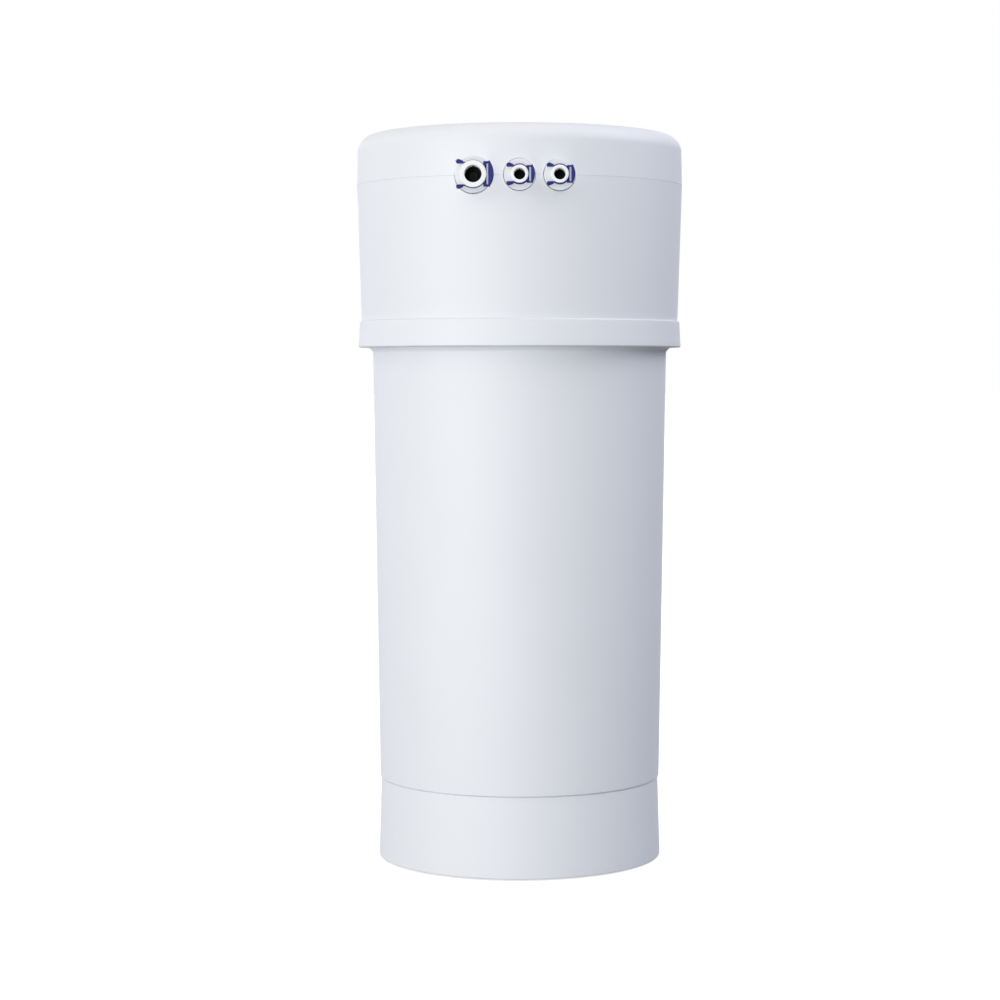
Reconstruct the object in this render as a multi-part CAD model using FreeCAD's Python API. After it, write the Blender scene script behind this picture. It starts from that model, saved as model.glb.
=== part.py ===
import FreeCAD, Part
import math
import os

# Compact reverse osmosis water system. A round bucket shell stands on a base tray,
# a head with three push-fit ports drops into its collar and a lid closes the head.
# Three cartridges hang from the head and leave it by a quarter turn.
# Millimetres, +Z up, the ports face -Y, the origin is on the axis at the floor.

# cartridges, which set the width of the shells
cartridge_count = 3
cartridge_r = 31.0
cartridge_gap = 6.75
cartridge_wall = 2.0
cartridge_bevel = 4.0
shoulder_drop = 9.0
grip_height = 26.0
grip_sides = 8
grip_depth = 1.6
neck_r = 17.0
nozzle_r = 12.0
nozzle_length = 17.0
seal_bead = 0.2
seal_height = 2.6
seal_inset = 4.2
core_bore_r = 5.0
core_play = 1.0

# outer form, from the floor up
wall = 3.0
foot_proud = 1.0
skirt_height = 47.35
base_flare = 1.5
base_inset = 0.7
shell_clear = 10.5
shell_height = 258.05
shell_draft = 3.7
collar_height = 15.7
collar_overhang = 8.75
collar_flare = 0.9
collar_ledge = 1.1
collar_root = 2.5
head_height = 80.1
head_draft = 2.45
lid_height = 31.0
lid_lean = 0.6
lid_corner_r = 10.1
lid_crown = 1.2

# how the shells seat in one another
slip = 0.3
seat_step = 2.0
base_spigot = 8.5
tray_floor = 3.0
head_spigot = 12.2
head_spigot_wall = 4.0
lid_lip = 6.0
lid_lip_wall = 2.0

# feet and stiffening
foot_r = 7.0
foot_height = 2.5
foot_inset = 17.3
foot_count = 4
gusset_count = 8
gusset_size = 16.0
gusset_thick = 2.0
hub_r = 46.0
hub_recess = 1.5
lid_ribs = 6
lid_rib_depth = 5.0
lid_rib_thick = 1.8
cartridge_clear = 9.0

# quarter-turn sockets: ramps in the socket and lugs on the cartridge share the lead
lead = 28.0
quarter_turn = 90.0
lug_depth = 4.1
lug_height = 4.0
lug_span = 46.0
lug_play = 0.3
ledge_start = 6.0
ledge_lip = 2.5
ledge_span = 94.0
stop_span = 4.0
stop_play = 2.0
turn_play = 0.4
socket_wall = 3.5
socket_depth = 25.9
socket_shoulder = 15.5
neck_gap = 0.6
neck_drop = 3.0

# manifold deck
deck_thick = 4.0
tower_wall = 3.2
piston_height = 4.0
piston_play = 0.3
piston_slip = 0.08
piston_room = 1.7
rib_thick = 2.4
rib_height = 8.0
rib_inset = 6.0

# push-fit ports, two for quarter inch tube and one for three eighths
port_proud = 1.9
small_tube_r = 3.175
large_tube_r = 4.7625
tube_play = 0.08
inlet_x = -26.0
product_x = 0.0
drain_x = 22.5
small_boss_r = 8.9
large_boss_r = 10.4
boss_gap = 0.3
boss_length = 18.5
insert_wall = 3.3
insert_tail = 7.0
tube_socket = 6.5
socket_play = 0.05
mouth_lip = 1.5
cone_length = 3.0
cone_rise = 1.1
seal_seat = 10.6
seal_width = 2.0
pilot_length = 6.4
water_r = 1.8

# collets and locking clips
small_neck_r = 3.9
large_neck_r = 5.7
small_flange_r = 5.0
large_flange_r = 7.5
flange_thick = 1.8
neck_play = 0.2
collet_gap = 2.2
finger_end = 6.8
finger_swell = 0.7
finger_slot = 0.8
clip_thick = 1.7
clip_back = 0.1
clip_play = 0.12
clip_wall = 5.1
small_arm_r = 5.8
large_arm_r = 7.9
small_bow_in = 6.4
large_bow_in = 8.5
small_bow_r = 8.6
large_bow_r = 11.6
small_bow_half = 4.9
large_bow_half = 7.1
bow_window = 1.0
small_nub_x = 5.5
large_nub_x = 7.7
small_nub_y = 4.8
large_nub_y = 6.7
nub_length = 3.7
nub_width = 2.8
nub_tilt = 24.0

# bracket, lines and valves inside the head
bracket_thick = 3.0
bracket_margin = 2.0
bracket_foot = 12.0
bend_r = 16.0
stub_height = 11.0
stub_wall = 2.4
stub_bore = 8.0
capsule_r = 6.5
capsule_length = 22.0
capsule_spigot = 7.5
capsule_socket = 6.0
capsule_bevel = 1.5
valve_r = 14.0
valve_height = 12.0
diaphragm_thick = 1.2
diaphragm_inset = 1.5
bonnet_rim = 3.0
bonnet_height = 9.0
bonnet_step = 4.0
bonnet_bevel = 2.0

# radii that follow, from the cartridges outward
cartridge_circle = (cartridge_r + cartridge_gap / 2) / math.sin(math.pi / cartridge_count)
shell_low_r = cartridge_circle + cartridge_r + shell_clear + wall
shell_high_r = shell_low_r + shell_draft
collar_low_r = shell_high_r + collar_overhang
collar_high_r = collar_low_r - collar_flare
head_low_r = collar_high_r - collar_ledge
head_high_r = head_low_r + head_draft
head_spigot_r = head_low_r - seat_step
base_high_r = shell_low_r - base_inset
base_low_r = base_high_r + base_flare
base_spigot_r = shell_low_r - wall - slip
foot_circle = base_low_r - foot_inset
socket_bore_r = neck_r + lug_depth + turn_play
socket_r = socket_bore_r + socket_wall
ledge_r = neck_r + turn_play
nozzle_bore_r = nozzle_r + slip
tower_r = nozzle_bore_r + tower_wall

# levels that follow, from the floor up
base_top = foot_proud + skirt_height
base_floor = foot_proud + tray_floor
spigot_top = base_top + base_spigot
cartridge_low = spigot_top + cartridge_clear
collar_low = base_top + shell_height
collar_seat = collar_low + wall
collar_top = collar_low + collar_height
deck_low = collar_top + wall
deck_top = deck_low + deck_thick
lid_low = collar_top + head_height
lid_top = lid_low + lid_height
port_z = lid_low
socket_low = deck_low - socket_depth
bore_step = socket_low + socket_shoulder
shoulder_high = socket_low - neck_drop
shoulder_low = shoulder_high - shoulder_drop
neck_top = bore_step - neck_gap
nozzle_top = neck_top + nozzle_length
piston_low = nozzle_top + piston_play
bore_top = piston_low + piston_height + piston_room
tower_top = bore_top + wall
stub_top = deck_top + stub_height
capsule_top = stub_top + capsule_length

# depths that follow, from the port faces inward
port_face = head_high_r + port_proud
bracket_front = port_face - boss_length
bracket_back = bracket_front - bracket_thick
line_y = bracket_front - insert_tail - bend_r
deck_r = head_low_r + head_draft * wall / head_height - wall - slip


def vec(x, y, z):
    return FreeCAD.Vector(x, y, z)


ORIGIN = vec(0, 0, 0)
UP = vec(0, 0, 1)
INWARD = vec(0, 1, 0)


def turned(points):
    """Closed outline of (radius, height) turned about the upright axis."""
    corners = [vec(r, 0, z) for r, z in points]
    wire = Part.makePolygon(corners + corners[:1])
    return Part.Face(wire).revolve(ORIGIN, UP, 360)


def cylinder(r, low, high, x=0.0, y=0.0):
    return Part.makeCylinder(r, high - low, vec(x, y, low))


def block(x0, x1, y0, y1, z0, z1):
    return Part.makeBox(x1 - x0, y1 - y0, z1 - z0, vec(x0, y0, z0))


def prism(corners, direction):
    wire = Part.makePolygon(corners + corners[:1])
    return Part.Face(wire).extrude(direction)


def spun(shape, degrees):
    copy = shape.copy()
    copy.rotate(ORIGIN, UP, degrees)
    return copy


def moved(shape, x, y, z):
    copy = shape.copy()
    copy.translate(vec(x, y, z))
    return copy


def around(shape, count, first=0.0):
    return [spun(shape, first + 360.0 * i / count) for i in range(count)]


def joined(first, others):
    return first.fuse(others).removeSplitter()


def save(name, shape):
    if len(shape.Solids) == 1:
        shape = shape.Solids[0]
    shape.exportStep(os.path.join("parts", name + ".step"))


def sector(inner, outer, low, high, start, span):
    """Part of a ring between two radii, two heights and two angles."""
    full = Part.makeCylinder(outer, high - low, vec(0, 0, low), UP, span)
    return spun(full.cut(cylinder(inner, low - 1, high + 1)), start)


def helical_band(inner, outer, low, height, start, span):
    """Ramp of rectangular section that climbs by the lead in a full turn."""
    helix = Part.makeHelix(lead, lead * span / 360, (inner + outer) / 2)
    corners = [vec(inner, 0, low), vec(outer, 0, low),
               vec(outer, 0, low + height), vec(inner, 0, low + height)]
    section = Part.makePolygon(corners + corners[:1])
    pipe = Part.Wire(helix.Edges).makePipeShell([section], True, True)
    return spun(pipe, start)


# base, feet and bucket shell

def base_tray():
    inner = base_spigot_r - wall
    tray = turned([
        (0, foot_proud + hub_recess), (hub_r, foot_proud + hub_recess), (hub_r, foot_proud),
        (base_low_r, foot_proud), (base_high_r, base_top), (base_spigot_r, base_top),
        (base_spigot_r, spigot_top), (inner, spigot_top), (inner, base_floor), (0, base_floor)])
    gusset = prism([
        vec(inner - gusset_size, -gusset_thick / 2, base_floor - 1),
        vec(inner + 1, -gusset_thick / 2, base_floor - 1),
        vec(inner + 1, -gusset_thick / 2, base_floor + gusset_size),
        vec(inner, -gusset_thick / 2, base_floor + gusset_size),
        vec(inner - gusset_size, -gusset_thick / 2, base_floor)], vec(0, gusset_thick, 0))
    bar = block(-hub_r - 1, hub_r + 1, -gusset_thick / 2, gusset_thick / 2,
                foot_proud, base_floor)
    tray = joined(tray, around(gusset, gusset_count, 180.0 / gusset_count)
                  + around(bar, gusset_count)[:gusset_count // 2])
    recess = cylinder(foot_r + slip, foot_proud - 1, foot_height, foot_circle)
    return tray.cut(around(recess, foot_count, 180.0 / foot_count))


def foot_pads():
    pad = cylinder(foot_r, 0, foot_height, foot_circle)
    return around(pad, foot_count, 180.0 / foot_count)


def body_shell():
    return turned([
        (shell_low_r - wall, base_top), (shell_low_r, base_top),
        (shell_high_r, collar_low - collar_root),
        (shell_high_r + collar_root, collar_low),
        (collar_low_r, collar_low), (collar_high_r, collar_top),
        (head_spigot_r + slip, collar_top), (head_spigot_r + slip, collar_seat),
        (shell_high_r - wall, collar_seat)])


# head shell, lid and the notches that both leave for the ports

def port_notch(x, z, boss_r, side):
    """Round hole for one boss that runs open to the seam on one side."""
    r = boss_r + boss_gap
    reach = 12 * wall
    hole = Part.makeCylinder(r, reach, vec(x, -port_face - wall, z), INWARD)
    low, high = sorted([z, z + side * 3 * r])
    way = block(x - r, x + r, -port_face - wall, -port_face - wall + reach, low, high)
    return hole.fuse(way)


def port_notches(side):
    return [port_notch(x, z, boss_r, side) for x, z, boss_r, tube_r in ports()]


def ports():
    return [(inlet_x, port_z, large_boss_r, large_tube_r),
            (product_x, port_z, small_boss_r, small_tube_r),
            (drain_x, port_z, small_boss_r, small_tube_r)]


def head_shell():
    inner = head_spigot_r - head_spigot_wall
    spigot_low = collar_top - head_spigot
    shell = turned([
        (inner, spigot_low), (head_spigot_r, spigot_low), (head_spigot_r, collar_top),
        (head_low_r, collar_top), (head_high_r, lid_low), (head_high_r - wall, lid_low),
        (deck_r + slip, deck_low), (inner, deck_low)])
    return shell.cut(port_notches(1))


def lid_profile(low):
    """Wall line, corner arc and crown arc from the seam up to the axis."""
    lean = math.atan2(lid_lean, lid_height)
    crown_r = (head_high_r ** 2 + lid_crown ** 2) / (2 * lid_crown)
    crown_z = lid_top - crown_r
    start_x = head_high_r - lid_corner_r * math.cos(lean)
    start_z = low - lid_corner_r * math.sin(lean) - crown_z
    along = start_z * math.cos(lean) - start_x * math.sin(lean)
    short = start_x ** 2 + start_z ** 2 - (crown_r - lid_corner_r) ** 2
    step = math.sqrt(along ** 2 - short) - along
    centre_x = start_x - step * math.sin(lean)
    centre_z = start_z + step * math.cos(lean) + crown_z
    top = math.atan2(centre_z - crown_z, centre_x)

    def on_corner(angle):
        return vec(centre_x + lid_corner_r * math.cos(angle), 0,
                   centre_z + lid_corner_r * math.sin(angle))

    def on_crown(angle):
        return vec(crown_r * math.cos(angle), 0, crown_z + crown_r * math.sin(angle))

    foot = vec(head_high_r, 0, low)
    apex = on_crown(math.pi / 2)
    corner_end = on_corner(top)
    return foot, apex, [
        Part.makeLine(foot, on_corner(lean)),
        Part.Arc(on_corner(lean), on_corner((lean + top) / 2), corner_end).toShape(),
        Part.Arc(corner_end, on_crown((top + math.pi / 2) / 2), apex).toShape()]


def lid():
    foot, apex, edges = lid_profile(lid_low)
    lip_r = head_high_r - wall - slip
    lip_low = lid_low - lid_lip
    roof = lid_top - wall - lid_crown
    inside = lip_r - lid_lip_wall
    bevel = lid_corner_r - wall
    corners = [apex, vec(0, 0, roof), vec(inside - bevel, 0, roof),
               vec(inside, 0, roof - bevel), vec(inside, 0, lip_low),
               vec(lip_r, 0, lip_low), vec(lip_r, 0, lid_low), foot]
    wire = Part.Wire(edges + Part.makePolygon(corners).Edges)
    shell = Part.Face(wire).revolve(ORIGIN, UP, 360)
    rib = block(core_bore_r, inside - bevel, -lid_rib_thick / 2, lid_rib_thick / 2,
                roof - lid_rib_depth, roof + 0.5)
    shell = joined(shell, around(rib, lid_ribs, 180.0 / lid_ribs))
    return shell.cut(port_notches(-1))


# manifold with a socket for each cartridge, and the cartridge that turns into it

def cartridge_places():
    places = []
    for i in range(cartridge_count):
        angle = 90 + 360.0 * i / cartridge_count
        places.append((cartridge_circle * math.cos(math.radians(angle)),
                       cartridge_circle * math.sin(math.radians(angle)), angle))
    return places


def at_cartridge(shape, index):
    x, y, angle = cartridge_places()[index]
    return moved(spun(shape, angle), x, y, 0)


def ledge():
    """Ramp that a lug climbs, with the stop that ends the turn."""
    low_face = socket_low + ledge_lip
    outer = socket_bore_r + 1
    margin = 5.0
    ramp = helical_band(ledge_r - 1, outer + 1, low_face - lead * margin / 360 - lead, lead,
                        ledge_start - margin, ledge_span + 2 * margin)
    ring = sector(ledge_r, outer, socket_low, bore_step, ledge_start, ledge_span)
    stop = sector(ledge_r, outer, socket_low, bore_step,
                  ledge_start + ledge_span - stop_span, stop_span)
    return ring.common(ramp).fuse(stop)


def lug(turn):
    start = ledge_start + ledge_span - stop_span - stop_play - lug_span
    margin = 2.0
    climb = lead * (start - margin - ledge_start) / 360
    band = helical_band(neck_r - 3, neck_r + lug_depth + 1,
                        socket_low + ledge_lip + lug_play + climb, lug_height,
                        start - margin, lug_span + 2 * margin)
    ring = sector(neck_r - 1, neck_r + lug_depth, socket_low, neck_top, start, lug_span)
    return spun(ring.common(band), turn)


def manifold():
    body = cylinder(deck_r, deck_low, deck_top)
    solids, bores, ledges = [], [], []
    for x, y, angle in cartridge_places():
        solids.append(cylinder(socket_r, socket_low, deck_low + 1, x, y))
        solids.append(cylinder(tower_r, deck_low, tower_top, x, y))
        bores.append(cylinder(socket_bore_r, socket_low - 1, bore_step, x, y))
        bores.append(cylinder(nozzle_bore_r, socket_low, bore_top, x, y))
        both = ledge().fuse(spun(ledge(), 180))
        ledges.append(moved(spun(both, angle), x, y, 0))
    for near, far in ((valve_r + slip, cartridge_circle - tower_r + 2),
                      (cartridge_circle + tower_r - 2, deck_r - rib_inset)):
        rib = block(near, far, -rib_thick / 2, rib_thick / 2, deck_low, deck_top + rib_height)
        solids += around(rib, cartridge_count, 90)
    for x, z, boss_r, tube_r in ports():
        solids.append(cylinder(tube_r + stub_wall, deck_low, stub_top, x, -line_y))
        bores.append(cylinder(tube_r + socket_play, stub_top - stub_bore, stub_top + 1,
                              x, -line_y))
    return joined(joined(body, solids).cut(bores), ledges)


def canister():
    """Sealed housing with a gripped foot, a necked shoulder and two helical lugs."""
    inner = cartridge_r - cartridge_wall
    seal_high = nozzle_top - seal_inset
    body = turned([
        (0, cartridge_low), (cartridge_r - cartridge_bevel, cartridge_low),
        (cartridge_r, cartridge_low + cartridge_bevel), (cartridge_r, shoulder_low),
        (neck_r, shoulder_high), (neck_r, neck_top), (nozzle_r, neck_top),
        (nozzle_r, seal_high - seal_height), (nozzle_r + seal_bead, seal_high - seal_height),
        (nozzle_r + seal_bead, seal_high), (nozzle_r, seal_high), (nozzle_r, nozzle_top),
        (core_bore_r, nozzle_top), (core_bore_r, shoulder_low),
        (inner, shoulder_low - core_play), (inner, cartridge_low + cartridge_bevel),
        (0, cartridge_low + cartridge_bevel)])
    return joined(body.cut(grip_cut()), [lug(0), lug(180)])


def grip_cut():
    """What the flats of the hand grip take away from the foot of a cartridge."""
    low, high = cartridge_low - 1, cartridge_low + grip_height
    inner = cartridge_r - grip_depth
    corner = inner / math.cos(math.pi / grip_sides) + grip_depth / 2
    post = prism([vec(corner * math.cos(2 * math.pi * i / grip_sides),
                      corner * math.sin(2 * math.pi * i / grip_sides), low - 1)
                  for i in range(grip_sides)], vec(0, 0, high - low + 2))
    ring = turned([(inner, low), (2 * cartridge_r, low), (2 * cartridge_r, high), (inner, high)])
    return ring.cut(post)


def filter_core():
    """Wound or pressed element with its open centre."""
    low, high = cartridge_low + cartridge_bevel, shoulder_low - core_play
    outer = cartridge_r - cartridge_wall - core_play
    return cylinder(outer, low, high).cut(cylinder(core_bore_r, low - 1, high + 1))


def piston():
    return cylinder(nozzle_bore_r - piston_slip, piston_low, piston_low + piston_height)


# ports, collets and clips, drawn on the upright axis with +Z outward, then laid down

def at_port(shape, x, z):
    copy = shape.copy()
    copy.rotate(ORIGIN, vec(1, 0, 0), 90)
    copy.translate(vec(x, -port_face, z))
    return copy


def port_body(boss_r, tube_r, collet_neck_r):
    mouth = collet_neck_r + neck_play
    cavity = mouth + cone_rise
    seat = tube_r + insert_wall
    return turned([
        (mouth, 0), (boss_r, 0), (boss_r, -boss_length), (seat, -boss_length),
        (seat, -seal_seat), (cavity, -seal_seat),
        (cavity, -mouth_lip - cone_length), (mouth, -mouth_lip)])


def port_insert(tube_r):
    """Inner sleeve: tube stop in front, socket for the unit's own line behind."""
    outer = tube_r + insert_wall
    pilot = tube_r + tube_play
    stop = -seal_seat - pilot_length
    end = -boss_length - insert_tail
    return turned([
        (pilot, -seal_seat), (outer, -seal_seat), (outer, end),
        (tube_r + socket_play, end), (tube_r + socket_play, end + tube_socket),
        (water_r, end + tube_socket), (water_r, stop), (pilot, stop)])


def port_seal(tube_r, collet_neck_r):
    outer = collet_neck_r + neck_play + cone_rise - socket_play
    inner = tube_r + tube_play
    return turned([(inner, -seal_seat), (outer, -seal_seat),
                   (outer, -seal_seat + seal_width), (inner, -seal_seat + seal_width)])


def collet(tube_r, collet_neck_r, flange_r):
    bore = tube_r + tube_play
    front = collet_gap + flange_thick
    sleeve = turned([
        (bore, front), (flange_r, front), (flange_r, collet_gap), (collet_neck_r, collet_gap),
        (collet_neck_r, -mouth_lip - finger_swell),
        (collet_neck_r + finger_swell, -finger_end + 2 * finger_swell),
        (collet_neck_r + finger_swell, -finger_end), (bore, -finger_end)])
    reach = flange_r + 1
    slot = block(-reach, reach, -finger_slot / 2, finger_slot / 2, -finger_end - 1, -mouth_lip)
    return sleeve.cut([slot, spun(slot, 90)])


def clip(collet_neck_r, arm_r, bow_in, bow_r, bow_half, nub_x, nub_y):
    """Horseshoe between boss and collet flange, with a raised grip on its bow."""
    low, high = clip_back, clip_back + clip_thick
    inside = collet_neck_r + clip_play
    ring = cylinder(arm_r, low, high)
    disc = cylinder(bow_r, low, low + clip_wall)
    web = block(collet_neck_r, bow_in + 1, -bow_half, bow_half, low, high)
    bow = block(bow_in, bow_r + 1, -bow_half, bow_half, low, low + clip_wall)
    arms = block(-nub_x, 0, -nub_y, nub_y, low, high)
    nubs = []
    for side in (-1, 1):
        bulb_x = nub_width / 2 - nub_length / 2
        bulb = cylinder(nub_width / 2, low, high, bulb_x)
        nub = block(bulb_x, nub_length / 2, -nub_width / 2, nub_width / 2, low, high).fuse(bulb)
        nubs.append(moved(spun(nub, -side * nub_tilt), -nub_x, side * nub_y, 0))
    body = joined(ring, [arms, web, bow.common(disc)] + nubs)
    way = block(-4 * arm_r, 0, -inside, inside, low - 1, high + 1)
    window = block(bow_in - bow_window, bow_in, -inside, inside, low - 1, high + 1)
    return body.cut([cylinder(inside, low - 1, high + 1), way, window])


# bracket, lines and valves on the deck

def port_bracket():
    left = inlet_x - large_boss_r - bracket_margin
    right = drain_x + small_boss_r + bracket_margin
    top = port_z + large_boss_r + bracket_margin
    toe = -bracket_back + bracket_foot
    plate = block(left, right, -bracket_front, -bracket_back, deck_top, top)
    foot = block(left, right, -bracket_front, toe, deck_top, deck_top + bracket_thick)
    gussets = []
    for x in (left, right - bracket_thick):
        gussets.append(prism([
            vec(x, -bracket_back - 1, deck_top), vec(x, toe, deck_top),
            vec(x, toe, deck_top + bracket_thick), vec(x, -bracket_back, port_z),
            vec(x, -bracket_back - 1, port_z)], vec(bracket_thick, 0, 0)))
    holes = [Part.makeCylinder(tube_r + insert_wall + slip, 3 * bracket_thick,
                               vec(x, -bracket_front - bracket_thick, z), INWARD)
             for x, z, boss_r, tube_r in ports()]
    return joined(plate, [foot] + gussets).cut(holes)


def line_tube(x, z, tube_r, low):
    """Tube from the back of a port, round one bend and down to its stub."""
    bend_start = -line_y - bend_r
    start = bend_start - tube_socket
    along = Part.makeCylinder(tube_r, tube_socket, vec(x, start, z), INWARD)
    circle = Part.makeCircle(tube_r, vec(x, bend_start, z), INWARD)
    bend = Part.Face(Part.Wire(circle)).revolve(
        vec(x, bend_start, z - bend_r), vec(-1, 0, 0), 90)
    down = cylinder(tube_r, low, z - bend_r, x, -line_y)
    return along.fuse([bend, down])


def capsule(x):
    """Inline valve body with a spigot below and a tube socket above."""
    socket_r_in = small_tube_r + socket_play
    body = turned([
        (0, stub_top - capsule_spigot), (small_tube_r, stub_top - capsule_spigot),
        (small_tube_r, stub_top), (capsule_r - capsule_bevel, stub_top),
        (capsule_r, stub_top + capsule_bevel), (capsule_r, capsule_top - capsule_bevel),
        (capsule_r - capsule_bevel, capsule_top), (socket_r_in, capsule_top),
        (socket_r_in, capsule_top - capsule_socket), (0, capsule_top - capsule_socket)])
    return moved(body, x, -line_y, 0)


def shutoff_body():
    return cylinder(valve_r, deck_top, deck_top + valve_height)


def shutoff_diaphragm():
    low = deck_top + valve_height
    return cylinder(valve_r - diaphragm_inset, low, low + diaphragm_thick)


def shutoff_bonnet():
    low = deck_top + valve_height
    outer = valve_r + bonnet_rim
    seat = valve_r - diaphragm_inset + slip
    crown = outer - bonnet_step
    return turned([
        (seat, low), (outer, low), (outer, low + bonnet_step), (crown, low + bonnet_step),
        (crown, low + bonnet_height - bonnet_bevel),
        (crown - bonnet_bevel, low + bonnet_height), (0, low + bonnet_height),
        (0, low + diaphragm_thick), (seat, low + diaphragm_thick)])


def save_ports():
    small_body = port_body(small_boss_r, small_tube_r, small_neck_r)
    large_body = port_body(large_boss_r, large_tube_r, large_neck_r)
    small_collet = collet(small_tube_r, small_neck_r, small_flange_r)
    large_collet = collet(large_tube_r, large_neck_r, large_flange_r)
    small_clip = clip(small_neck_r, small_arm_r, small_bow_in, small_bow_r, small_bow_half,
                      small_nub_x, small_nub_y)
    large_clip = clip(large_neck_r, large_arm_r, large_bow_in, large_bow_r, large_bow_half,
                      large_nub_x, large_nub_y)
    small = (small_body, port_insert(small_tube_r), port_seal(small_tube_r, small_neck_r),
             small_collet, small_clip)
    large = (large_body, port_insert(large_tube_r), port_seal(large_tube_r, large_neck_r),
             large_collet, large_clip)
    kinds = ("port", "insert", "seal", "collet", "clip")
    for side, place, pieces in zip(("inlet", "product", "drain"), ports(),
                                   (large, small, small)):
        for kind, piece in zip(kinds, pieces):
            save(side + "_" + kind, at_port(piece, place[0], place[1]))


def main():
    os.makedirs("parts", exist_ok=True)
    save("base_tray", base_tray())
    for i, pad in enumerate(foot_pads()):
        save("foot_pad_%d" % (i + 1), pad)
    save("body_shell", body_shell())
    save("head_shell", head_shell())
    save("lid", lid())
    save("manifold", manifold())
    can, core, disc = canister(), filter_core(), piston()
    for i, name in enumerate(("membrane", "prefilter", "postfilter")):
        save(name + "_canister", at_cartridge(can, i))
        save(name + "_element", at_cartridge(core, i))
        save(name + "_piston", at_cartridge(disc, i))
    save_ports()
    save("port_bracket", port_bracket())
    stub_end, capsule_end = stub_top - stub_bore, capsule_top - capsule_socket
    save("inlet_tube", line_tube(inlet_x, port_z, large_tube_r, stub_end))
    save("product_tube", line_tube(product_x, port_z, small_tube_r, capsule_end))
    save("drain_tube", line_tube(drain_x, port_z, small_tube_r, capsule_end))
    save("check_valve", capsule(product_x))
    save("flow_restrictor", capsule(drain_x))
    save("shutoff_body", shutoff_body())
    save("shutoff_diaphragm", shutoff_diaphragm())
    save("shutoff_bonnet", shutoff_bonnet())


main()
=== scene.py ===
import math

import bmesh
import bpy
from mathutils import Matrix, Vector


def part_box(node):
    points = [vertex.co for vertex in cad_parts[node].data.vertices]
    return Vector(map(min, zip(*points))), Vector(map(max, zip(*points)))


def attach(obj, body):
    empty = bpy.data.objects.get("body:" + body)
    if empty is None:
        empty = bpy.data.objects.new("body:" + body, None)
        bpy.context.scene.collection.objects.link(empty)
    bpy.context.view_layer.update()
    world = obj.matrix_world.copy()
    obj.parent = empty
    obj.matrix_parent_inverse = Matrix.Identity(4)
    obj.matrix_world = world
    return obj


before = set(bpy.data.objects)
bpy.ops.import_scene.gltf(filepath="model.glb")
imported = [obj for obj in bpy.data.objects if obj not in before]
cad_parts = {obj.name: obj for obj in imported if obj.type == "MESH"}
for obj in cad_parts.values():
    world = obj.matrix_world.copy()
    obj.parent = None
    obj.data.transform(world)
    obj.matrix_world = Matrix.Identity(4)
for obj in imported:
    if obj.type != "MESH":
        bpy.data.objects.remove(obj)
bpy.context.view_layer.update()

MM = 0.001
PORTS = ("inlet", "product", "drain")
CARTRIDGES = ("membrane", "prefilter", "postfilter")
FEET = 4

# camera where the photograph was taken: metres from the axis and over the floor, degrees down,
# lens and sensor in millimetres, shift as a share of the frame
EYE_DISTANCE = 1.476
EYE_HEIGHT = 0.2919
PITCH = 2.998
LENS = 88.2
SENSOR = 36
SHIFT_X = -0.0196
CLIP_END = 100

# soft boxes: azimuth, elevation, distance, (width, height), watts, linear colour, level aimed at
FILL_SIZE = (0.7, 0.7)
LAMPS = {
    "key": (-38, 1, 1.8, (2.0, 0.6), 19.3, (1.0, 1.0, 0.99), 0.22),
    "left_fill": (-45, 35, 1.1, FILL_SIZE, 1.9, (1.0, 0.985, 0.93), 0.36),
    "front_fill": (0, 35, 1.1, FILL_SIZE, 0.8, (1.0, 0.92, 0.76), 0.36),
    "front_right_fill": (25, 10, 1.2, FILL_SIZE, 0.8, (0.95, 1.03, 1.15), 0.45),
    "right_fill": (85, 35, 1.1, FILL_SIZE, 3.2, (0.98, 1.0, 1.07), 0.36),
    "low_fill": (0, -28, 0.9, FILL_SIZE, 0.93, (1.0, 1.03, 1.1), 0.34),
}

# soft lobes of sky: azimuth, elevation, linear colour
SKY_LOBES = (
    (-30, -35, (0.68, 0.70, 0.71)),
    (-90, 35, (0.26, 0.26, 0.29)),
    (90, 35, (1.58, 1.63, 1.85)),
    (-135, 10, (1.27, 1.30, 1.40)),
    (176, 5, (1.10, 1.13, 1.20)),
    (0, 90, (1.00, 0.96, 0.88)),
)
SKY_FOCUS = 6.0
BACKDROP = 1.0
WHITE = (1, 1, 1, 1)

# floor: a white disc with a glow of its own, metres
FLOOR_RADIUS = 30
FLOOR_SIDES = 96
FLOOR_TINT = (0.9, 0.9, 0.9, 1)
FLOOR_ROUGH = 0.9
FLOOR_GLOW = 0.62

# depths taken over from the part
STUB_BORE = 8.0 * MM
BONNET_STEP = 4.0 * MM
BRACKET_THICK = 3.0 * MM
INSERT_WALL = 3.3 * MM
PILOT_DEPTH = 6.4 * MM

# push-in collars: radii over the tube's, and heights of the flange and the whole
VALVE_UNDER = {"inlet": None, "product": "check_valve", "drain": "flow_restrictor"}
COLLAR_PLAY = 0.02 * MM
COLLAR_FLANGE = 1.5 * MM
COLLAR_NECK = 0.7 * MM
FLANGE_HIGH = 1.1 * MM
COLLAR_HIGH = 2.2 * MM

# valve discs: share of the bore, thickness, outline and cross as shares of radius and thickness
DISC_SHARE = 0.72
DISC_THICK = 0.9 * MM
DISC_OUTLINE = ((0, 0), (1, 0), (1, 0.6), (0.85, 1), (0, 1))
RIB_LONG = 1.5
RIB_WIDE = 0.28
RIB_LEVEL = 1.2
RIB_DEEP = 0.8 * MM

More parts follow.
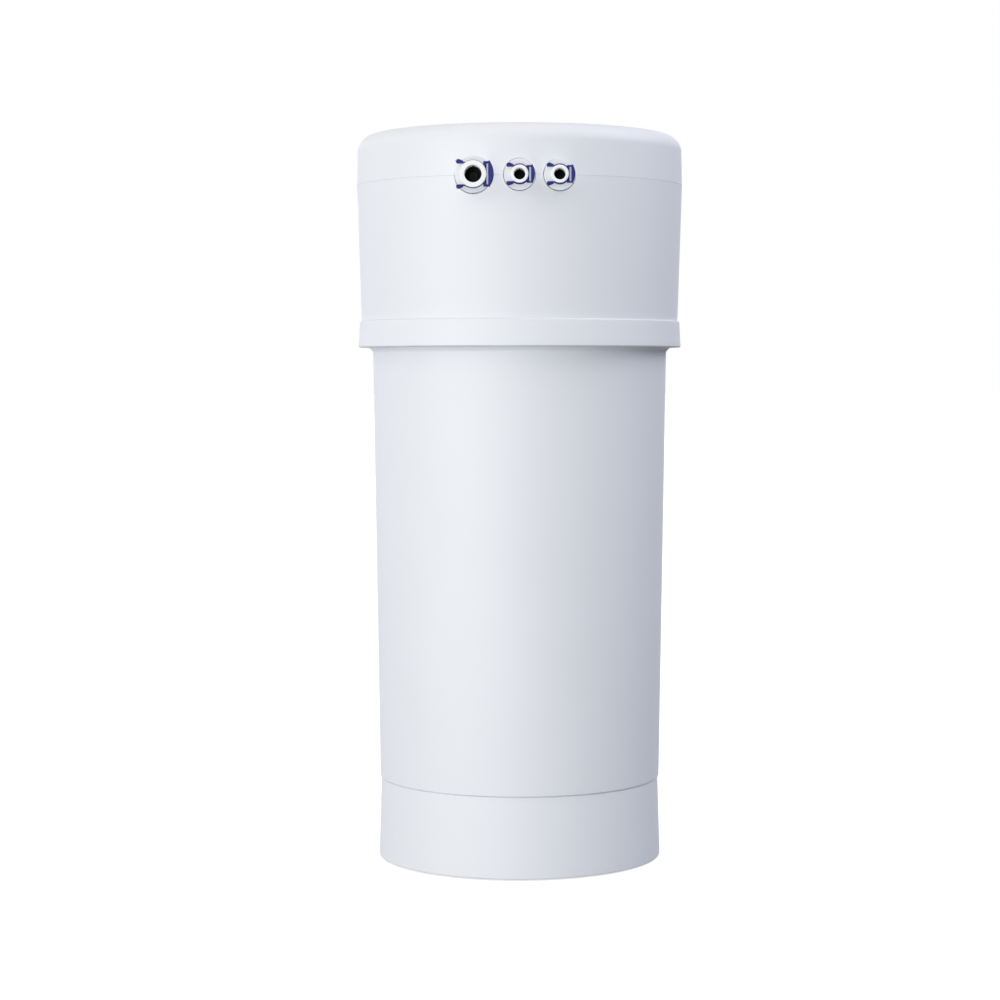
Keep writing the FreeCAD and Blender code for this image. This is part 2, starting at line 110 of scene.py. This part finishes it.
# screws: head radii and places, then height, outline and recess as shares of radius and height
BONNET_SCREW = 1.6 * MM
BONNET_SCREWS = 6
BONNET_START = 30
BONNET_INSET = 2.0 * MM
BRACKET_SCREW = 2.6 * MM
BRACKET_SHARES = (0.11, 0.52, 0.88)
BRACKET_INSET = 5.0 * MM
SCREW_HIGH = 0.62
SCREW_OUTLINE = ((0, -0.2), (1, -0.2), (1, 0.35), (0.86, 0.72), (0.55, 0.94), (0, 1))
RECESS_LONG = 1.15
RECESS_WIDE = 0.24
RECESS_DEEP = 0.9
RECESS_LEVEL = 0.95

# weld lines: levels over the cartridge's foot, steps out from its wall and up
WELD_LEVELS = (33 * MM, 204 * MM)
WELD_ROOT = 0.3 * MM
WELD_FLANK = 0.35 * MM
WELD_PROUD = 0.5 * MM
WELD_RISE = 0.25 * MM
WELD_HIGH = 1.8 * MM

# sides of what is turned
COLLAR_STEPS = 48
SCREW_STEPS = 32
WELD_STEPS = 96
CROSS_TURNS = (0, math.pi / 2)

# rounded edges: widths, and how they are cut
SHELL_EDGES = {
    "base_tray": 0.6 * MM,
    "body_shell": 0.8 * MM,
    "head_shell": 0.2 * MM,
    "lid": 0.35 * MM,
}
PORT_EDGE = 0.25 * MM
CLIP_EDGE = 0.3 * MM
CANISTER_EDGE = 0.4 * MM
INNER_EDGE = 0.3 * MM
EDGE_ANGLE = 40
EDGE_SEGMENTS = 3
EDGE_MERGE = 0.002 * MM
NORMAL_WEIGHT = 90
TURNED_EDGE = 0.15 * MM
TURNED_ANGLE = 35
TURNED_SEGMENTS = 2
TURNED_MERGE = 0.0001 * MM

# specular levels
SHEEN = 0.5
LOW_SHEEN = 0.25
LEAST_SHEEN = 0.2

# finishes: linear colour, roughness, grain strength, scale and depth, mottling, specular level
CANISTER_TINT = (0.80, 0.81, 0.82)
# near-black: on the port inserts it is painted shade, standing for the shade deep in each bore; the
# poppet discs wear it as their own black
BORE_SHADE_AND_BLACK_TINT = (0.006, 0.006, 0.007)
FINISHES = {
    "shell_plastic": ((0.81, 0.83, 0.87), 0.5, 0.05, 2600, 0.02 * MM, 0.006, SHEEN),
    "port_plastic": ((0.84, 0.86, 0.89), 0.38, 0.05, 3000, 0.02 * MM, 0.01, SHEEN),
    "collet_plastic": ((0.96, 0.97, 0.98), 0.35, 0.04, 3000, 0.02 * MM, 0.01, SHEEN),
    "clip_plastic": ((0.024, 0.030, 0.20), 0.42, 0.06, 3000, 0.02 * MM, 0.06, LOW_SHEEN),
    "foot_rubber": ((0.02, 0.02, 0.022), 0.8, 0.3, 1800, 0.05 * MM, 0.1, SHEEN),
    "line_tube": ((0.78, 0.81, 0.84), 0.3, 0.03, 1500, 0.02 * MM, 0.02, SHEEN),
    # the insert's near-black is painted shade for the deep bore, not the colour of the part
    "insert_bore_shade": (BORE_SHADE_AND_BLACK_TINT, 0.5, 0.1, 2500, 0.02 * MM, 0.2, LEAST_SHEEN),
    "poppet_plastic": (BORE_SHADE_AND_BLACK_TINT, 0.5, 0.1, 2500, 0.02 * MM, 0.2, LEAST_SHEEN),
    "canister_plastic": (CANISTER_TINT, 0.35, 0.05, 2200, 0.02 * MM, 0.02, SHEEN),
    "bead_plastic": (CANISTER_TINT, 0.4, 0.1, 1500, 0.03 * MM, 0.02, SHEEN),
    "manifold_plastic": ((0.36, 0.38, 0.41), 0.5, 0.12, 1800, 0.03 * MM, 0.05, SHEEN),
    "valve_plastic": ((0.10, 0.11, 0.13), 0.45, 0.1, 2000, 0.03 * MM, 0.08, SHEEN),
    "collar_plastic": ((0.09, 0.10, 0.12), 0.4, 0.08, 2500, 0.02 * MM, 0.05, SHEEN),
    "membrane_wrap": ((0.55, 0.48, 0.36), 0.7, 0.3, 700, 0.1 * MM, 0.1, SHEEN),
    "carbon_block": ((0.012, 0.012, 0.013), 0.9, 0.8, 900, 0.3 * MM, 0.3, SHEEN),
}
MOTTLE_SCALE = 14.0
MOTTLE_DETAIL = 3.0
MOTTLE_STOPS = (0.35, 0.65)
GLOSS_SWING = 0.03
GRAIN_DETAIL = 2.0

# zinc-plated steel
STEEL_TINT = (0.62, 0.61, 0.6)
STEEL_DARKEST = 0.82
STEEL_STOPS = (0.3, 0.7)
STEEL_ROUGH = (0.24, 0.42)
WEAR_SCALE = 900.0
WEAR_DETAIL = 4.0


def nodes_of(material):
    material.use_nodes = True
    tree = material.node_tree
    return tree.nodes, tree.links, tree.nodes["Principled BSDF"]


def noise(nodes, links, where, scale, detail):
    """Noise that stays on the piece as it moves."""
    made = nodes.new("ShaderNodeTexNoise")
    made.inputs["Scale"].default_value = scale
    made.inputs["Detail"].default_value = detail
    links.new(where.outputs["Object"], made.inputs["Vector"])
    return made


def colour_from(source, tints, stops, nodes, links, shader):
    """Base colour that follows the noise from the first tint to the second."""
    shade = nodes.new("ShaderNodeValToRGB")
    for element, stop, tint in zip(shade.color_ramp.elements, stops, tints):
        element.position = stop
        element.color = list(tint) + [1]
    links.new(source.outputs["Fac"], shade.inputs["Fac"])
    links.new(shade.outputs["Color"], shader.inputs["Base Color"])


def gloss_from(source, low, high, nodes, links, shader):
    """Roughness that follows the noise."""
    gloss = nodes.new("ShaderNodeMapRange")
    gloss.inputs["To Min"].default_value = low
    gloss.inputs["To Max"].default_value = high
    links.new(source.outputs["Fac"], gloss.inputs["Value"])
    links.new(gloss.outputs["Result"], shader.inputs["Roughness"])


def plastic(name):
    """Moulded plastic: faint mottling of colour and gloss and a fine spark-eroded grain."""
    tint, rough, grain, grain_size, depth, spread, sheen = FINISHES[name]
    material = bpy.data.materials.new(name)
    nodes, links, shader = nodes_of(material)
    where = nodes.new("ShaderNodeTexCoord")
    mottle = noise(nodes, links, where, MOTTLE_SCALE, MOTTLE_DETAIL)
    dark = [c * (1 - spread) for c in tint]
    light = [min(1, c * (1 + spread)) for c in tint]
    colour_from(mottle, (dark, light), MOTTLE_STOPS, nodes, links, shader)
    gloss_from(mottle, rough - GLOSS_SWING, rough + GLOSS_SWING, nodes, links, shader)
    fine = noise(nodes, links, where, grain_size, GRAIN_DETAIL)
    bump = nodes.new("ShaderNodeBump")
    bump.inputs["Strength"].default_value = grain
    bump.inputs["Distance"].default_value = depth
    links.new(fine.outputs["Fac"], bump.inputs["Height"])
    links.new(bump.outputs["Normal"], shader.inputs["Normal"])
    shader.inputs["Specular IOR Level"].default_value = sheen
    return material


def steel(name):
    """Zinc-plated steel with a faint brushed unevenness."""
    material = bpy.data.materials.new(name)
    nodes, links, shader = nodes_of(material)
    where = nodes.new("ShaderNodeTexCoord")
    wear = noise(nodes, links, where, WEAR_SCALE, WEAR_DETAIL)
    dark = [c * STEEL_DARKEST for c in STEEL_TINT]
    colour_from(wear, (dark, STEEL_TINT), STEEL_STOPS, nodes, links, shader)
    gloss_from(wear, *STEEL_ROUGH, nodes, links, shader)
    shader.inputs["Metallic"].default_value = 1.0
    return material


def soften(thing, width):
    """Small moulded radius on a CAD node's sharp edges."""
    weld = thing.modifiers.new("weld", "WELD")
    weld.merge_threshold = EDGE_MERGE
    bevel = thing.modifiers.new("edge", "BEVEL")
    bevel.width = width
    bevel.segments = EDGE_SEGMENTS
    bevel.limit_method = "ANGLE"
    bevel.angle_limit = math.radians(EDGE_ANGLE)
    bevel.use_clamp_overlap = False
    shade = thing.modifiers.new("shade", "WEIGHTED_NORMAL")
    shade.mode = "FACE_AREA"
    shade.weight = NORMAL_WEIGHT


def dress(node, material, edge=None):
    """Finish of a CAD node, with its sharp edges rounded where an edge is given."""
    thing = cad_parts[node]
    thing.data.materials.clear()
    thing.data.materials.append(material)
    if edge:
        soften(thing, edge)


def dress_all():
    """A finish on every CAD node."""
    shell = plastic("shell_plastic")
    port = plastic("port_plastic")
    collet = plastic("collet_plastic")
    clip = plastic("clip_plastic")
    rubber = plastic("foot_rubber")
    line = plastic("line_tube")
    insert = plastic("insert_bore_shade")
    canister = plastic("canister_plastic")
    grey = plastic("manifold_plastic")
    valve = plastic("valve_plastic")
    wrap = plastic("membrane_wrap")
    carbon = plastic("carbon_block")
    for node, edge in SHELL_EDGES.items():
        dress(node, shell, edge)
    for i in range(FEET):
        dress("foot_pad_%d" % (i + 1), rubber)
    for side in PORTS:
        dress(side + "_port", port, PORT_EDGE)
        dress(side + "_collet", collet, PORT_EDGE)
        dress(side + "_clip", clip, CLIP_EDGE)
        dress(side + "_tube", line)
        # the insert is painted near-black as the shade deep in the bore
        dress(side + "_insert", insert)
        dress(side + "_seal", rubber)
    for kind in CARTRIDGES:
        dress(kind + "_canister", canister, CANISTER_EDGE)
        dress(kind + "_piston", valve)
    dress("shutoff_diaphragm", rubber)
    dress("membrane_element", wrap)
    dress("prefilter_element", carbon)
    dress("postfilter_element", carbon)
    for node in ("manifold", "port_bracket"):
        dress(node, grey, INNER_EDGE)
    for node in ("check_valve", "flow_restrictor", "shutoff_body", "shutoff_bonnet"):
        dress(node, valve, INNER_EDGE)


def middle(node):
    low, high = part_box(node)
    return [(a + b) / 2 for a, b in zip(low, high)]


def scaled(outline, radius, height):
    """Outline of shares as (radius, height) points in metres."""
    return [(across * radius, up * height) for across, up in outline]


def turned(outline, steps):
    """Closed mesh turned about +Z from an outline of (radius, height) points."""
    mesh = bpy.data.meshes.new("turned")
    build = bmesh.new()
    rings = []
    for i in range(steps):
        angle = 2 * math.pi * i / steps
        rings.append([build.verts.new((r * math.cos(angle), r * math.sin(angle), z))
                      for r, z in outline])
    for i in range(steps):
        here, there = rings[i], rings[(i + 1) % steps]
        for j in range(len(outline)):
            k = (j + 1) % len(outline)
            build.faces.new((here[j], there[j], there[k], here[k]))
    bmesh.ops.remove_doubles(build, verts=build.verts, dist=TURNED_MERGE)
    bmesh.ops.recalc_face_normals(build, faces=build.faces)
    build.to_mesh(mesh)
    build.free()
    return mesh


def piece_of(name, mesh, material, body):
    """Puts a mesh that is in place into the scene as a piece that moves with a body."""
    mesh.name = name
    mesh.materials.append(material)
    piece = bpy.data.objects.new(name, mesh)
    bpy.context.scene.collection.objects.link(piece)
    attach(piece, body)
    return piece


def lathe(name, outline, material, body, place, axis=(0, 0, 1), steps=COLLAR_STEPS):
    """Smooth ring or disc that stands on its place along its axis, with small rounded edges."""
    mesh = turned(outline, steps)
    for face in mesh.polygons:
        face.use_smooth = True
    turn = Vector((0, 0, 1)).rotation_difference(Vector(axis)).to_matrix().to_4x4()
    mesh.transform(Matrix.Translation(Vector(place)) @ turn)
    piece = piece_of(name, mesh, material, body)
    bevel = piece.modifiers.new("edge", "BEVEL")
    bevel.width = TURNED_EDGE
    bevel.segments = TURNED_SEGMENTS
    bevel.limit_method = "ANGLE"
    bevel.angle_limit = math.radians(TURNED_ANGLE)
    bevel.harden_normals = True
    return piece


def line_fittings():
    """Push-in collars where each line enters its stub, its valve or its port."""
    collar = plastic("collar_plastic")
    for side in PORTS:
        low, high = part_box(side + "_tube")
        tube_r = (high[0] - low[0]) / 2
        x, y = (low[0] + high[0]) / 2, high[1] - tube_r
        under = VALVE_UNDER[side]
        foot = low[2] + STUB_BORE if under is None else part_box(under)[1][2]
        bore = tube_r + COLLAR_PLAY
        flange = tube_r + COLLAR_FLANGE
        neck = tube_r + COLLAR_NECK
        outline = [(bore, 0), (flange, 0), (flange, FLANGE_HIGH), (neck, FLANGE_HIGH),
                   (neck, COLLAR_HIGH), (bore, COLLAR_HIGH)]
        piece = lathe(side + "_line_collar", outline, collar, "head", (x, y, foot))
        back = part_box(side + "_insert")[1][1]
        level = middle(side + "_insert")[2]
        piece = lathe(side + "_rear_collar", outline, collar, "head", (x, back, level), (0, 1, 0))


def poppets():
    """The black check-valve disc with its cross, at the tube stop of each port."""
    black = plastic("poppet_plastic")
    for side in PORTS:
        low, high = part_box(side + "_insert")
        r = ((high[0] - low[0]) / 2 - INSERT_WALL) * DISC_SHARE
        x, _, z = middle(side + "_insert")
        stop = low[1] + PILOT_DEPTH
        outline = scaled(DISC_OUTLINE, r, DISC_THICK)
        disc = lathe(side + "_poppet", outline, black, "head", (x, stop, z), (0, -1, 0))
        build = bmesh.new()
        build.from_mesh(disc.data)
        centre = Matrix.Translation((x, stop - RIB_LEVEL * DISC_THICK, z))
        rib = Matrix.Diagonal((RIB_LONG * r, RIB_DEEP, RIB_WIDE * r, 1))
        for turn in CROSS_TURNS:
            made = bmesh.ops.create_cube(build, size=1.0)
            bmesh.ops.transform(build, verts=made["verts"],
                                matrix=centre @ Matrix.Rotation(turn, 4, "Y") @ rib)
        build.to_mesh(disc.data)
        build.free()


def recess(radius, height):
    """Cross-shaped cutter for the recess of a screw."""
    mesh = bpy.data.meshes.new("recess")
    build = bmesh.new()
    level = Matrix.Translation((0, 0, RECESS_LEVEL * height))
    bar = Matrix.Diagonal((RECESS_LONG * radius, RECESS_WIDE * radius, RECESS_DEEP * height, 1))
    for turn in CROSS_TURNS:
        made = bmesh.ops.create_cube(build, size=1.0)
        bmesh.ops.transform(build, verts=made["verts"],
                            matrix=Matrix.Rotation(turn, 4, "Z") @ level @ bar)
    build.to_mesh(mesh)
    build.free()
    cutter = bpy.data.objects.new("recess", mesh)
    bpy.context.scene.collection.objects.link(cutter)
    return cutter


def screw(name, place, radius, material, body):
    """Pan head with a cross recess."""
    height = SCREW_HIGH * radius
    outline = scaled(SCREW_OUTLINE, radius, height)
    blank = bpy.data.objects.new("blank", turned(outline, SCREW_STEPS))
    bpy.context.scene.collection.objects.link(blank)
    cutter = recess(radius, height)
    cut = blank.modifiers.new("recess", "BOOLEAN")
    cut.operation = "DIFFERENCE"
    cut.object = cutter
    cut.solver = "EXACT"
    cut.use_self = True
    bpy.context.view_layer.update()
    mesh = bpy.data.meshes.new_from_object(
        blank.evaluated_get(bpy.context.evaluated_depsgraph_get()))
    bpy.data.objects.remove(cutter)
    bpy.data.objects.remove(blank)
    mesh.transform(Matrix.Translation(Vector(place)))
    piece_of(name, mesh, material, body)


def screws():
    """Six on the valve bonnet and three on the foot of the port bracket."""
    zinc = steel("screw_steel")
    low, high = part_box("shutoff_bonnet")
    mid = middle("shutoff_bonnet")
    ring = (high[0] - low[0]) / 2 - BONNET_INSET
    for i in range(BONNET_SCREWS):
        angle = math.radians(BONNET_START + 360 * i / BONNET_SCREWS)
        place = (mid[0] + ring * math.cos(angle), mid[1] + ring * math.sin(angle),
                 low[2] + BONNET_STEP)
        screw("bonnet_screw_%d" % (i + 1), place, BONNET_SCREW, zinc, "head")
    low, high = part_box("port_bracket")
    for i, share in enumerate(BRACKET_SHARES):
        place = (low[0] + share * (high[0] - low[0]), high[1] - BRACKET_INSET,
                 low[2] + BRACKET_THICK)
        screw("bracket_screw_%d" % (i + 1), place, BRACKET_SCREW, zinc, "head")


def weld_beads():
    """The two spin-weld lines round each cartridge, over its grip and under its shoulder."""
    bead = plastic("bead_plastic")
    for kind in CARTRIDGES:
        low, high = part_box(kind + "_canister")
        x, y = middle(kind + "_canister")[:2]
        r = (high[0] - low[0]) / 2
        outline = [(r - WELD_ROOT, 0), (r + WELD_FLANK, WELD_RISE), (r + WELD_PROUD, WELD_HIGH / 2),
                   (r + WELD_FLANK, WELD_HIGH - WELD_RISE), (r - WELD_ROOT, WELD_HIGH)]
        for i, level in enumerate(WELD_LEVELS):
            piece = lathe("%s_weld_%d" % (kind, i + 1), outline, bead, kind,
                          (x, y, low[2] + level), steps=WELD_STEPS)


def floor():
    """Plain white floor, which throws neither shadow nor light on the part."""
    bpy.ops.mesh.primitive_circle_add(vertices=FLOOR_SIDES, radius=FLOOR_RADIUS,
                                      fill_type="NGON", location=(0, 0, 0))
    ground = bpy.context.object
    ground.name = "floor"
    material = bpy.data.materials.new("floor")
    shader = nodes_of(material)[2]
    shader.inputs["Base Color"].default_value = FLOOR_TINT
    shader.inputs["Roughness"].default_value = FLOOR_ROUGH
    shader.inputs["Emission Color"].default_value = WHITE
    shader.inputs["Emission Strength"].default_value = FLOOR_GLOW
    ground.data.materials.append(material)
    ground.visible_diffuse = False
    ground.visible_glossy = False
    ground.visible_shadow = False


def heading(azimuth, elevation):
    """Direction as a unit vector; azimuth 0 is in front of the ports, positive to the right."""
    a, e = math.radians(azimuth), math.radians(elevation)
    return Vector((math.sin(a) * math.cos(e), -math.cos(a) * math.cos(e), math.sin(e)))


def sky():
    """White for the camera; as light it is a few wide soft lobes."""
    world = bpy.data.worlds.new("studio")
    bpy.context.scene.world = world
    world.use_nodes = True
    nodes, links = world.node_tree.nodes, world.node_tree.links
    nodes.clear()
    where = nodes.new("ShaderNodeTexCoord")
    light = nodes.new("ShaderNodeBackground")
    total = None
    for azimuth, elevation, tint in SKY_LOBES:
        facing = nodes.new("ShaderNodeVectorMath")
        facing.operation = "DOT_PRODUCT"
        facing.inputs[1].default_value = heading(azimuth, elevation)
        links.new(where.outputs["Generated"], facing.inputs[0])
        front = nodes.new("ShaderNodeMath")
        front.operation = "MAXIMUM"
        front.inputs[1].default_value = 0.0
        links.new(facing.outputs["Value"], front.inputs[0])
        lobe = nodes.new("ShaderNodeMath")
        lobe.operation = "POWER"
        lobe.inputs[1].default_value = SKY_FOCUS
        links.new(front.outputs["Value"], lobe.inputs[0])
        added = nodes.new("ShaderNodeVectorMath")
        added.operation = "MULTIPLY_ADD"
        added.inputs[1].default_value = tint
        added.inputs[2].default_value = (0, 0, 0)
        links.new(lobe.outputs["Value"], added.inputs[0])
        if total:
            links.new(total.outputs["Vector"], added.inputs[2])
        total = added
    links.new(total.outputs["Vector"], light.inputs["Color"])
    seen = nodes.new("ShaderNodeBackground")
    seen.inputs["Color"].default_value = WHITE
    seen.inputs["Strength"].default_value = BACKDROP
    ray = nodes.new("ShaderNodeLightPath")
    mix = nodes.new("ShaderNodeMixShader")
    links.new(ray.outputs["Is Camera Ray"], mix.inputs["Fac"])
    links.new(light.outputs["Background"], mix.inputs[1])
    links.new(seen.outputs["Background"], mix.inputs[2])
    out = nodes.new("ShaderNodeOutputWorld")
    links.new(mix.outputs["Shader"], out.inputs["Surface"])


def soft_box(name, azimuth, elevation, distance, size, power, tint, level):
    """Soft box that faces a point on the part's axis; the camera doesn't see it."""
    data = bpy.data.lights.new(name, "AREA")
    data.shape = "RECTANGLE"
    data.size, data.size_y = size
    data.energy = power
    data.color = tint
    lamp = bpy.data.objects.new(name, data)
    away = distance * heading(azimuth, elevation)
    lamp.location = Vector((0, 0, level)) + away
    lamp.rotation_euler = away.to_track_quat("Z", "Y").to_euler()
    lamp.visible_camera = False
    bpy.context.scene.collection.objects.link(lamp)
    return lamp


def clear_of_ports(lamp):
    """This lamp's light passes the ports, so they throw no hard-sided shadow on the head."""
    passed = bpy.data.collections.new(lamp.name + "_passes")
    for side in PORTS:
        for part in ("port", "collet", "clip"):
            passed.objects.link(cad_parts["%s_%s" % (side, part)])
    for entry in passed.collection_objects:
        entry.light_linking.link_state = "EXCLUDE"
    lamp.light_linking.blocker_collection = passed


def lamps():
    """All the soft boxes; the key passes the ports."""
    made = {name: soft_box(name, *setting) for name, setting in LAMPS.items()}
    clear_of_ports(made["key"])


def camera():
    data = bpy.data.cameras.new("camera")
    data.lens = LENS
    data.sensor_width = SENSOR
    data.shift_x = SHIFT_X
    data.clip_end = CLIP_END
    eye = bpy.data.objects.new("camera", data)
    eye.location = (0, -EYE_DISTANCE, EYE_HEIGHT)
    eye.rotation_euler = (math.radians(90 - PITCH), 0, 0)
    bpy.context.scene.collection.objects.link(eye)
    bpy.context.scene.camera = eye


bpy.context.scene.view_settings.view_transform = "Standard"
dress_all()
line_fittings()
poppets()
screws()
weld_beads()
floor()
sky()
lamps()
camera()
